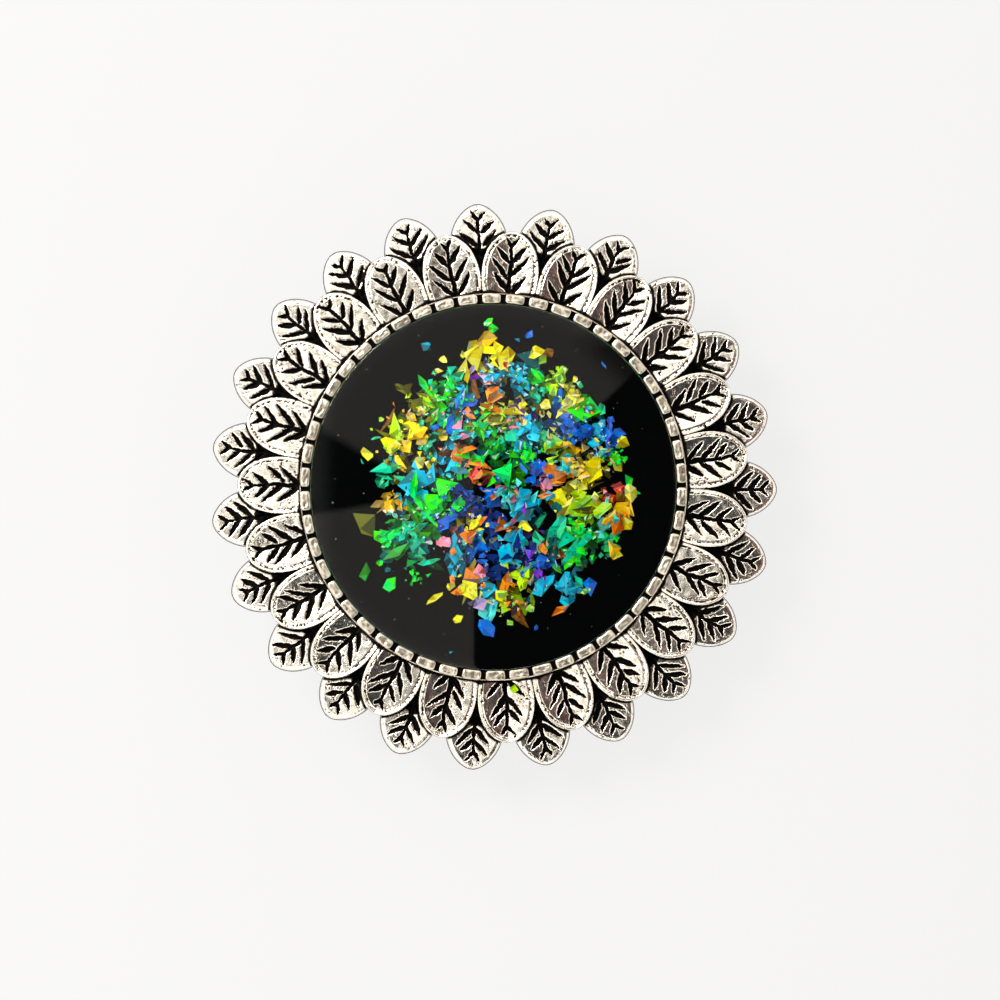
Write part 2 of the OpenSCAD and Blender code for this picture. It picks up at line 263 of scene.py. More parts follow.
def antiqueSilver(name="antiqueSilver", tint=(1, 1, 1), dull=0.0):
    material, tree, shader = newMaterial(name)
    coords = node(tree, "ShaderNodeTexCoord")
    fine = noise(tree, 1 / (silver["pitSize"] * mm), 3, 0.6, coords)
    smear = noise(tree, 1 / (silver["smearSize"] * mm), 5, 0.65, coords)
    oxideAndShade = node(tree, "ShaderNodeAttribute", attribute_name="oxideAndShade").outputs["Fac"]
    pushed = reckon(tree, "ADD", oxideAndShade, fit(tree, fine, 0.3, 0.7, -0.28, 0.28))
    black = fit(tree, pushed, 0.42, 0.6)
    # grey-brown wash on the facets: partly tarnish, partly painted shade
    washedAndShaded = reckon(tree, "MULTIPLY", fit(tree, oxideAndShade, silver["washShadeFrom"], silver["washShadeTo"]),
                    fit(tree, smear, 0.35, 0.6, 0.55, 1.0))
    bright = tuple(c * t for c, t in zip(silver["bright"], tint))
    warm = tuple(c * t for c, t in zip(silver["warm"], tint))
    plate = blendColours(tree, fit(tree, smear, 0.48, 0.75), bright, warm)
    plate = blendColours(tree, washedAndShaded, plate, silver["washAndShade"])
    stained = blendColours(tree, fit(tree, pushed, 0.36, 0.48), plate, silver["stain"])
    colour = blendColours(tree, fit(tree, pushed, 0.46, 0.6), stained, silver["oxide"])
    tree.links.new(colour, shader.inputs["Base Color"])
    tree.links.new(fit(tree, black, 0, 1, 1.0, 0.0), shader.inputs["Metallic"])
    tree.links.new(fit(tree, black, 0, 1, 0.5, 0.05), shader.inputs["Specular IOR Level"])
    plateRough = fit(tree, smear, 0.3, 0.75, silver["roughLow"] + dull, silver["roughHigh"] + dull)
    tree.links.new(reckon(tree, "MAXIMUM", plateRough, fit(tree, black, 0, 1, 0.0, 0.45)),
                   shader.inputs["Roughness"])
    height = reckon(tree, "ADD", fine, reckon(tree, "MULTIPLY", smear, 1.5))
    tree.links.new(bump(tree, height, silver["bump"], silver["bumpDeep"] * mm), shader.inputs["Normal"])
    return material


silverFinish = antiqueSilver()
brickFinish = antiqueSilver("brickSilver", silver["brickTint"], silver["brickDull"])

# Leaves of the casting
# in both leaf tables the root and side darkening values set painted shade; the wash is partly tarnish and
# partly painted shade
upperLeaf = {
    "count": 23, "turn": 7.3, "tipR": bezelR + 5.2, "width": 4.66, "widest": 3.35, "shoulder": 2.15,
    "tipRound": 0.56, "rootPull": 0.28, "top": backZ + 2.25, "thick": 1.3, "cup": 0.42, "slope": 0.045,
    "slopeFrom": 0, "rim": 0.1, "rimWide": 0.24, "roll": 0.05, "rollWide": 0.5,
    "fork": 1.22, "forkLong": 0.92, "forkOpen": 37,
    "ribBase": 0.27, "ribTip": 0.15, "firstVein": 1.3, "veinStep": 1.27,
    "veinLong": (1.75, 2.35, 2.2), "veinWide": 0.26, "veinLean": 40, "grooveDeep": 0.42, "joined": 0.4,
    "draft": 0.06, "rootShade": 0.3, "washAndShade": 0.17, "rimShows": 1.0, "sideShade": 0.85, "seed": 7,
}
outerLeaf = {
    "count": 23, "turn": -0.526, "tipR": bezelR + 7.4, "width": 4.5, "widest": 3.2, "shoulder": 2.0,
    "tipRound": 0.59, "rootPull": 0.2, "top": backZ + 1.0, "thick": 1.0, "cup": 0.12, "slope": 0.1,
    "slopeFrom": 3, "rim": 0.0, "rimWide": 0.1, "roll": 0.12, "rollWide": 0.3,
    "fork": 1.22, "forkLong": 0.98, "forkOpen": 40,
    "ribBase": 0.27, "ribTip": 0.15, "firstVein": 1.02, "veinStep": 1.08,
    "veinLong": (1.65, 2.15, 2.1), "veinWide": 0.25, "veinLean": 47, "grooveDeep": 0.34, "joined": 0.9,
    "draft": 0.16, "rootShade": 0.3, "washAndShade": 0.08, "rimShows": 0.25, "sideShade": 0.6, "seed": 11,
    "crotch": 3.55,
}
# what both kinds of leaf share: sizes in millimetres, and how black each kind of hollow is
casting = {
    "rows": 100, "cols": 92, "wander": 0.1, "wanderSize": 0.32, "rag": 0.09, "ragSize": 0.11,
    "sway": 0.05, "lumpSize": 0.45, "patchSize": 0.7, "channelDeep": 0.06, "swell": 0.05,
    "lumpHigh": 0.025, "pitDeep": 0.045, "edgeDrop": 0.1, "rootWave": 0.2, "forkWash": 0.16,
    "ragBlack": 0.56, "pitBlack": 0.72, "underInset": 0.12, "underPatina": 0.1, "rootSink": 0.06,
}


def halfWidth(leaf, fromTip):
    x = np.clip(fromTip, 1e-4, None) / leaf["widest"]
    outward = (1 - np.clip(1 - x, 0, 1) ** leaf["shoulder"]) ** leaf["tipRound"]
    inward = 1 - leaf["rootPull"] * np.clip(x - 1, 0, None) ** 2
    return leaf["width"] / 2 * np.where(x < 1, outward, inward)


def edgeDistance(leaf, along, across):
    # how far inside the leaf's outline a point lies, negative outside
    length = leaf["tipR"] - rootR
    fromTip = length * np.concatenate([np.linspace(0, 0.25, 60) ** 1.8, np.linspace(0.1, 1.05, 60)])
    line = np.stack([length - fromTip, halfWidth(leaf, fromTip)], -1)
    line = np.vstack([line, [[length, x] for x in np.linspace(0, line[0, 1], 4)]])
    points = np.stack([along, np.abs(across)], -1).reshape(-1, 1, 2)
    nearest = np.concatenate([np.sqrt(((part - line[None]) ** 2).sum(-1).min(1))
                              for part in np.array_split(points, 8)]).reshape(along.shape)
    inside = (np.abs(across) < halfWidth(leaf, length - along)) & (along < length)
    return np.where(inside, nearest, -nearest)


def groove(along, across, start, lean, length, wide, blunt):
    # 0 outside a wedge-shaped groove and 1 along its bottom
    c, s = math.cos(lean), math.sin(lean)
    u = (along - start[0]) * c + (across - start[1]) * s
    v = (across - start[1]) * c - (along - start[0]) * s
    t = np.clip(u / length, 0, 1)
    w = wide * np.minimum(1, blunt + 1.6 * t) * (1 - t ** 2.4) ** 0.7 + 0.012
    past = np.maximum(np.maximum(u - length, -u), 0)
    return np.clip(1 - np.hypot(v, past) / w, 0, 1) * np.sqrt(np.clip(w / wide, 0, 1))


def wandering(place, along, across, seed):
    # slightly wandering coordinates give the grooves ragged edges, as in a cast face
    slow = grain(along, across, casting["wanderSize"], seed) - 0.5
    quick = grain(along, across, casting["ragSize"], seed + 1) - 0.5
    return place + casting["wander"] * slow + casting["rag"] * quick


def leafCuts(leaf, along, across, seed, rng):
    # 0 on the polished facets and 1 along the bottom of each groove, and where the rib forks
    a = wandering(along, along, across, seed)
    b = wandering(across, along, across, seed + 2)
    forkAt = leaf["tipR"] - rootR - leaf["fork"] + rng.uniform(-0.08, 0.08)
    b = b + casting["sway"] * np.sin(a * 2.1 + rng.uniform(0, 6))
    ribHalf = leaf["ribBase"] + (leaf["ribTip"] - leaf["ribBase"]) * np.clip(a / forkAt, 0, 1)
    cut = np.clip(1 - np.abs(b) / ribHalf, 0, 1) * (a < forkAt)
    for side in (-1, 1):
        opening = math.radians(side * (leaf["forkOpen"] + rng.uniform(-8, 8)))
        forkLong = leaf["forkLong"] * rng.uniform(0.85, 1.1)
        arm = groove(a, b, (forkAt - 0.03, 0), opening, forkLong, leaf["ribTip"] + 0.04, 0.75)
        cut = np.maximum(cut, arm)
        for k, veinLong in enumerate(leaf["veinLong"]):
            startAlong = forkAt - leaf["firstVein"] - k * leaf["veinStep"] + rng.uniform(-0.08, 0.08)
            offset = side * (0.02 if rng.random() < leaf["joined"] else rng.uniform(0.18, 0.32))
            lean = math.radians(side * (leaf["veinLean"] + rng.uniform(-4, 4)))
            long = veinLong * rng.uniform(0.92, 1.08) - abs(offset)
            wide = leaf["veinWide"] * rng.uniform(0.9, 1.2)
            cut = np.maximum(cut, groove(a, b, (startAlong, offset), lean, long, wide, 0.55))
    return cut, forkAt


def cornerShade(along, across, lump):
    # painted shade: black beside and between the two upper leaves that cover an outer leaf's root, and from
    # the root out to the crotch
    black = np.zeros(along.shape)
    for side in (-0.5, 0.5):
        turn = math.radians(side * 360 / outerLeaf["count"])
        r = rootR + along
        x = r * math.cos(turn) - across * math.sin(turn)
        y = r * math.sin(turn) + across * math.cos(turn)
        near = -edgeDistance(upperLeaf, x - rootR, y)
        black = np.maximum(black, 1 - ramp(near + 0.12 * (lump - 0.5), 0.17, 0.33))
    crotch = outerLeaf["tipR"] - outerLeaf["crotch"] - rootR
    return np.maximum(black, 1 - ramp(along + 0.3 * (lump - 0.5), crotch - 0.1, crotch + 0.2))


def leafFace(leaf, index, rng):
    # the sculpted top of one leaf as a grid of points, and for each point its oxide and painted shade
    length = leaf["tipR"] - rootR
    along = length - length * np.linspace(1, 0.012, casting["rows"]) ** 1.35
    half = halfWidth(leaf, length - along)
    across = np.linspace(-1, 1, casting["cols"])[None] * half[:, None]
    along = np.repeat(along[:, None], casting["cols"], 1)
    seed = 50 * index + leaf["seed"]
    cut, forkAt = leafCuts(leaf, along, across, seed, rng)
    edge = edgeDistance(leaf, along, across)
    speck = grain(along, across, casting["ragSize"], seed + 4)
    lump = grain(along, across, casting["lumpSize"], seed + 5)
    patch = grain(along, across, casting["patchSize"], seed + 6)
    rimWide, rimShows = leaf["rimWide"], leaf["rimShows"]
    inRim = ramp(edge, 0.0, 0.08) * (1 - ramp(edge, rimWide - 0.08, rimWide + 0.02))
    channel = ramp(edge, rimWide - 0.06, rimWide + 0.02)
    channel = channel * (1 - ramp(edge, rimWide + 0.12, rimWide + 0.22))
    cut = cut * ramp(edge, 0.06 + 0.14 * rimShows, 0.2 + 0.2 * rimShows)
    sunk = smooth(cut * 1.5)
    pits = ramp(speck, 0.76, 0.9) * ramp(patch, 0.45, 0.65)

    tilt = leaf["cup"] * (np.abs(across) / (leaf["width"] / 2) - 1)
    face = tilt - leaf["slope"] * np.clip(along - leaf["slopeFrom"], 0, None)
    face = face + leaf["rim"] * inRim - casting["channelDeep"] * channel * rimShows * (0.4 + speck)
    face = face - leaf["roll"] * (1 - ramp(edge, -0.1, leaf["rollWide"])) ** 2
    # the polished facets swell a little between the grooves and are pitted all over
    face = face - casting["swell"] * np.clip(cut * 2.2, 0, 1) ** 2 + casting["lumpHigh"] * (lump - 0.5)
    face = face - leaf["grooveDeep"] * sunk - casting["pitDeep"] * pits
    face = face - casting["edgeDrop"] * (1 - ramp(edge, 0.0, 0.07))

    # painted shade: black at the root, where the leaf meets the bezel
    rootEnd = bezelR - rootR + leaf["rootShade"] + casting["rootWave"] * (lump - 0.5)
    nearFork = casting["forkWash"] * ramp(along, forkAt - 0.5, forkAt + 0.2) * ramp(speck, 0.3, 0.6)
    inside = (1 - ramp(cut, 0.0, 0.12)) * ramp(edge, rimWide + 0.02, rimWide + 0.25)
    ragged = ramp(cut, 0.0, 0.14) * ramp(speck, 0.36, 0.62) * ramp(lump, 0.2, 0.5)
    inChannel = channel * rimShows * ramp(speck, 0.42, 0.6) * ramp(lump, 0.15, 0.45)
    # oxide in the grooves, pits and rim channel; painted shade at the root; the wash is partly tarnish and
    # partly painted shade
    oxideAndShade = np.maximum.reduce([
        (leaf["washAndShade"] + nearFork) * inside * (0.35 + 0.65 * ramp(lump, 0.3, 0.6)),
        casting["ragBlack"] * ragged,
        ramp(sunk, 0.3, 0.62),
        casting["pitBlack"] * inChannel,
        casting["pitBlack"] * pits,
        1 - ramp(along, rootEnd - 0.2, rootEnd),
    ])
    # painted shade where the upper leaves cover the outer leaf
    if leaf is outerLeaf:
        oxideAndShade = np.maximum(oxideAndShade, cornerShade(along, across, lump))
    return np.stack([rootR + along, across, leaf["top"] + face], -1).reshape(-1, 3), oxideAndShade.reshape(-1)


def leafShell(leaf, index, rng):
    # the face, rings that go down its sides and a flat underside, closed all round
    top, oxideAndShade = leafFace(leaf, index, rng)
    rows, cols = casting["rows"], casting["cols"]
    # the border, walked once round: one side out, tip, the other side back
    grid = np.arange(rows * cols).reshape(rows, cols)
    border = np.concatenate([grid[:, 0], grid[-1, 1:-1], grid[::-1, -1], grid[0, -2:0:-1]])
    rim = top[border]
    count = len(border)
    centre = np.array([leaf["tipR"] - leaf["widest"], 0])
    away = rim[:, :2] - centre
    away = away / np.linalg.norm(away, axis=1)[:, None]
    floorZ = leaf["top"] - leaf["thick"]
    # painted shade: the sides get darker towards the bottom
    levels = [(share, leaf["draft"] * out, leaf["sideShade"] * ramp(share, 0.05, 0.35))
              for share, out in ((0.12, 0.35), (0.35, 0.6), (0.8, 0.95), (1.0, 1.0))]
    levels.append((1.0, -casting["underInset"], casting["underPatina"]))
    points, values, rings = [top], [oxideAndShade], [border]
    for share, out, dark in levels:
        ring = rim.copy()
        ring[:, :2] += away * out
        # near the tray the underside sinks into the back plate
        inward = 1 - ramp(np.hypot(ring[:, 0], ring[:, 1]), bezelR + 0.05, bezelR + 0.5)
        ring[:, 2] += (floorZ + casting["rootSink"] * inward - rim[:, 2]) * share
        rings.append(np.arange(count) + len(top) + (len(rings) - 1) * count)
        points.append(ring)
        values.append(np.full(count, dark))
    faces = [[f[0], f[3], f[2], f[1]] for f in sheetFaces(rows, cols)]
    for upper, lower in zip(rings[:-1], rings[1:]):
        nextUpper, nextLower = np.roll(upper, -1), np.roll(lower, -1)
        faces.extend(np.stack([upper, lower, nextLower, nextUpper], -1).tolist())
    # the underside: one face at the tip, quads across the middle and one face at the root
    last = rings[-1].tolist()
    tipEnd = rows - 1 + cols - 1
    faces.append(last[rows - 1:tipEnd + 1][::-1])
    for i in range(rows - 1):
        j = tipEnd + rows - 1 - i
        faces.append([last[i + 1], last[i], last[j % count], last[j - 1]])
    faces.append([last[i % count] for i in range(tipEnd + rows - 1, count + 1)][::-1])
    return np.concatenate(points), faces, np.concatenate(values)


def leafRow(label, leaf, seed, bunches=3):
    rng = np.random.default_rng(seed)
    shells = [leafShell(leaf, k, rng) for k in range(leaf["count"])]
    for bunch in range(bunches):
        heap = Heap()
        for k in range(bunch, leaf["count"], bunches):
            points, faces, oxideAndShade = shells[k]
            heap.add(turned(points, leaf["turn"] + k * 360 / leaf["count"]), faces, oxideAndShade)
        makePiece(f"{label}_{bunch + 1}", heap, silverFinish, "setting")
    print(label, "done")


leafRow("upper_leaves", upperLeaf, 3)
leafRow("outer_leaves", outerLeaf, 4)


# Bezel: wall with a thin lip, and one rounded brick between each two notches
def roundedBlock(size, radius, cells, pitSeed=None):
    # closed rounded box as a welded grid on six sides
    half = np.array(size) / 2
    found, points, faces = {}, [], []

    def ticks(h, n):
        inner = np.linspace(-(h - radius), h - radius, n)
        arc = radius * (1 - np.cos(np.linspace(0, np.pi / 2, 4)[1:]))
        return np.concatenate([-h + radius - arc[::-1], inner, h - radius + arc])

    grids = [ticks(h, n) for h, n in zip(half, cells)]
    for axis in range(3):
        u, v = [i for i in range(3) if i != axis]
        for side in (-1, 1):
            index = np.zeros((len(grids[u]), len(grids[v])), int)
            for i, cu in enumerate(grids[u]):
                for j, cv in enumerate(grids[v]):
                    p = np.zeros(3)
                    p[axis], p[u], p[v] = side * half[axis], cu, cv
                    core = np.clip(p, radius - half, half - radius)
                    away = p - core
                    p = core + away / np.linalg.norm(away) * radius
                    key = tuple(np.round(p, 4))
                    if key not in found:
                        found[key] = len(points)
                        points.append(p)
                    index[i, j] = found[key]
            flip = (side > 0) == (axis == 1)
            for i in range(len(grids[u]) - 1):
                for j in range(len(grids[v]) - 1):
                    quad = [index[i, j], index[i + 1, j], index[i + 1, j + 1], index[i, j + 1]]
                    ring = [q for n, q in enumerate(quad) if q != quad[n - 1]]
                    if len(set(ring)) >= 3:
                        faces.append(ring[::-1] if flip else ring)
    return np.array(points), faces


def makeBezel():
    low = bezelZ - bezel["notchDeep"]
    lipZ = bezelZ - bezel["lipDrop"]
    lipIn = bezelR - bezel["lipWide"]
    wallHeap = Heap()
    points, faces = lathe([
        (trayR, trayZ), (trayR, low - 0.04), (trayR + 0.04, low), (lipIn - 0.04, low),
        (lipIn, low + 0.04), (lipIn, lipZ - 0.04), (lipIn + 0.03, lipZ), (bezelR - 0.03, lipZ),
        (bezelR, lipZ - 0.04), (bezelR, lipZ - 0.3), (bezelR, backZ + 0.3),
        (bezelR - 0.1, backZ + 0.05), (trayR - 1, backZ + 0.05), (trayR - 1, trayZ),
    ], 400)
    lipGrain = grain(points[:, 0], points[:, 1], 0.4, 31)
    lipPatina = bezel["lipBlack"] + bezel["lipMottle"] * lipGrain
    # black below the lip: oxide and painted shade in the notches between the bricks, beside the cabochon
    # and down the outer wall
    oxideAndShade = np.where(points[:, 2] > lipZ - 0.05, lipPatina, 1.0)
    wallHeap.add(points, faces[:, ::-1], oxideAndShade)
    makePiece("bezel_wall", wallHeap, silverFinish, "setting")

    rng = np.random.default_rng(21)
    heap = Heap()
    middle = (bezel["brickIn"] + bezel["brickOut"]) / 2
    pitch = 360 / bezel["bricks"]
    long = math.radians(pitch) * middle - bezel["gap"]
    wide = bezel["brickOut"] - bezel["brickIn"]
    block, faces = roundedBlock((wide, long, bezel["brickDeep"]), bezel["brickRound"], (5, 12, 3))
    for k in range(bezel["bricks"]):
        p = block.copy()
        p[:, 1] *= rng.uniform(0.95, 1.03)
        p[:, 0] *= rng.uniform(0.94, 1.04)
        dent = grain(p[:, 0], p[:, 1] + 3 * k, 0.35, 77)
        fine = grain(p[:, 0], p[:, 1] + 3 * k, 0.13, 78)
        onTop = ramp(p[:, 2], bezel["brickDeep"] / 2 - 0.16, bezel["brickDeep"] / 2)
        hollow = np.exp(-(p[:, 0] / 0.2) ** 2 - (p[:, 1] / (0.3 * long)) ** 2)
        p[:, 2] -= onTop * (bezel["dent"] * dent + bezel["fineDent"] * fine + bezel["hollow"] * hollow)
        spots = ramp(fine, 0.5, 0.8) * ramp(dent, 0.3, 0.7)
        inHollow = bezel["hollowBlack"] * hollow * ramp(dent, 0.2, 0.6)
        worn = onTop * np.maximum(inHollow, bezel["spotBlack"] * spots)
        # painted shade: each brick's sides get black towards the bottom, in the gaps between bricks
        oxideAndShade = np.maximum(worn, bezel["sideShade"] * (1 - ramp(p[:, 2], -0.05, 0.2)))
        angle = math.radians(bezel["brickTurn"] + k * pitch) + p[:, 1] / middle
        r = middle + p[:, 0]
        z = bezelZ - bezel["brickDeep"] / 2 + p[:, 2]
        placed = np.stack([r * np.cos(angle), r * np.sin(angle), z], -1)
        heap.add(placed, faces, oxideAndShade)
    makePiece("bezel_bricks", heap, brickFinish, "setting")
    print("bezel done")


def makeBackPlate():
    edge = bezelR + 2.5
    heap = Heap()
    points, faces = solidLathe([
        (0, backZ), (2, backZ), (trayR - 2, backZ), (bezelR - 0.1, backZ),
        (edge - 0.2, backZ + 0.2), (edge, backZ + 0.3), (edge, backZ + 0.9), (edge - 0.1, backZ + 1.0),
        (trayR + 0.2, backZ + 1.0), (trayR - 0.5, trayZ), (2, trayZ), (0, trayZ),
    ], 400)
    # painted shade: black on the top where it shows between the leaves, nearly clean behind
    oxideAndShade = np.where(points[:, 2] > backZ + 0.5, 1.0, 0.12)
    heap.add(points, faces, oxideAndShade)
    makePiece("back_plate", heap, silverFinish, "setting")
    print("back plate done")


makeBezel()
makeBackPlate()

# Cabochon
cabochon = {
    "edgeStand": 0.12, "edgeRound": 0.14, "baseRound": 0.12, "gap": 0.015,
    "bubbles": 60, "bubbleSeed": 8, "bubbleR": (0.02, 0.055), "bubbleDeep": (0.15, 0.8),
    "deepBlack": (0.0001, 0.0002, 0.0002), "softBlack": (0.0005, 0.0005, 0.0004),
    "speckDark": (0.10, 0.10, 0.10), "speckPale": (0.34, 0.34, 0.33),
}
edgeZ = bezelZ - cabochon["edgeStand"]
domeRise = crownZ - edgeZ
domeR = (cabR * cabR + domeRise * domeRise) / (2 * domeRise)


def domeHeight(r):
    return crownZ - domeR + np.sqrt(domeR * domeR - np.square(r))


def clearResin():
    material, tree, shader = newMaterial("clearResin")
    tree.nodes.remove(shader)
    gloss = node(tree, "ShaderNodeBsdfGlossy", Roughness=0.02)
    gloss.inputs["Color"].default_value = (1, 1, 1, 1)
    clear = node(tree, "ShaderNodeBsdfTransparent")
    clear.inputs["Color"].default_value = (0.99, 0.99, 0.985, 1)
    facing = node(tree, "ShaderNodeFresnel", IOR=1.3)
    mix = node(tree, "ShaderNodeMixShader")
    tree.links.new(facing.outputs[0], mix.inputs[0])
    tree.links.new(clear.outputs[0], mix.inputs[1])
    tree.links.new(gloss.outputs[0], mix.inputs[2])
    out = next(n for n in tree.nodes if n.type == "OUTPUT_MATERIAL")
    tree.links.new(mix.outputs[0], out.inputs["Surface"])
    return material


def blackResin():
    material, tree, shader = newMaterial("blackResin")
    cloud = noise(tree, 1 / (1.6 * mm), 4)
    colour = blendColours(tree, fit(tree, cloud, 0.3, 0.8), cabochon["deepBlack"], cabochon["softBlack"])
    tree.links.new(colour, shader.inputs["Base Color"])
    tree.links.new(fit(tree, cloud, 0.3, 0.7, 0.35, 0.5), shader.inputs["Roughness"])
    shader.inputs["Specular IOR Level"].default_value = 0.0
    return material


def makeCabochon():
    arc = np.linspace(0, np.pi / 2, 7)
    start = cabR - cabochon["edgeRound"]
    bend = cabochon["edgeRound"]
    shoulder = [(start + bend * math.sin(t) ** 0.9,
                 edgeZ - bend + bend * math.cos(t) + 0.02 * (1 - math.sin(t))) for t in arc[::-1]]
    cap = [(r, float(domeHeight(r))) for r in np.linspace(start - 0.15, 0.4, 60)]
    floorZ = clearZ + cabochon["gap"]
    heap = Heap()
    foot = [(0, floorZ), (cabR * 0.5, floorZ), (cabR - 0.02, floorZ), (cabR, floorZ + 0.03)]
    points, faces = solidLathe(foot + shoulder + cap + [(0, crownZ)], 360)
    heap.add(points, faces)
    makePiece("clear_dome_shell", heap, clearResin(), "clear_dome")

    base = Heap()
    soft = cabochon["baseRound"]
    points, faces = solidLathe([
        (0, baseZ), (cabR * 0.5, baseZ), (cabR - soft, baseZ), (cabR - 0.03, baseZ + 0.04),
        (cabR, baseZ + soft), (cabR, clearZ - 0.03), (cabR - 0.03, clearZ),
        (cabR * 0.5, clearZ), (0, clearZ),
    ], 360)
    base.add(points, faces)
    makePiece("black_layer", base, blackResin(), "black_base")
    print("cabochon done")


def makeBubbles():
    # a few specks of air and dust under the gloss
    material, tree, shader = newMaterial("airSpeck")
    cloud = noise(tree, 1 / (0.2 * mm), 2)
    colour = blendColours(tree, cloud, cabochon["speckDark"], cabochon["speckPale"])
    tree.links.new(colour, shader.inputs["Base Color"])
    shader.inputs["Roughness"].default_value = 0.3
    rng = np.random.default_rng(cabochon["bubbleSeed"])
    heap = Heap()
    t = np.linspace(0, np.pi, 7)
    for _ in range(cabochon["bubbles"]):
        r, turn = cabR * math.sqrt(rng.uniform(0.05, 0.93)), rng.uniform(0, 2 * np.pi)
        size = rng.uniform(*cabochon["bubbleR"])
        ring = [(size * math.sin(u), -size * math.cos(u)) for u in t[1:-1]]
        points, faces = solidLathe([(0, -size)] + ring + [(0, size)], 8)
        points[:, 0] *= rng.uniform(0.7, 1.8)
        points = turned(points, rng.uniform(0, 360))
        z = domeHeight(r) - rng.uniform(*cabochon["bubbleDeep"])
        heap.add(points + [r * math.cos(turn), r * math.sin(turn), z], faces)
    makePiece("air_specks", heap, material, "clear_dome")


makeCabochon()
makeBubbles()

# Film flakes: (x, y, size) in millimetres on the face, by the colour each one shows
tones = {
    "yellow": (0.90, 0.82, 0.0), "gold": (0.90, 0.56, 0.0), "cream": (0.95, 0.90, 0.16),
    "orange": (0.90, 0.27, 0.01), "red": (0.95, 0.08, 0.01), "brown": (0.20, 0.08, 0.01),
    "lime": (0.50, 1.0, 0.0), "olive": (0.15, 0.15, 0.0), "green": (0.0, 0.86, 0.03),
    "leaf": (0.01, 0.30, 0.03), "teal": (0.0, 0.60, 0.32), "deepTeal": (0.002, 0.13, 0.14),
    "cyan": (0.0, 0.52, 0.82), "ice": (0.08, 0.74, 0.76), "blue": (0.0, 0.16, 0.76),
    "navy": (0.0, 0.03, 0.22), "violet": (0.20, 0.06, 0.80), "pink": (0.95, 0.30, 0.46),
    "lilac": (0.62, 0.48, 0.95),
}
families = {
    "flakes_gold": ("yellow", "gold", "cream"), "flakes_orange": ("orange", "red", "brown"),
    "flakes_lime": ("lime", "olive"), "flakes_green": ("green", "leaf"),
    "flakes_teal": ("teal", "deepTeal"), "flakes_cyan": ("cyan", "ice"),
    "flakes_blue": ("blue", "navy"), "flakes_violet": ("violet", "pink", "lilac"),
}
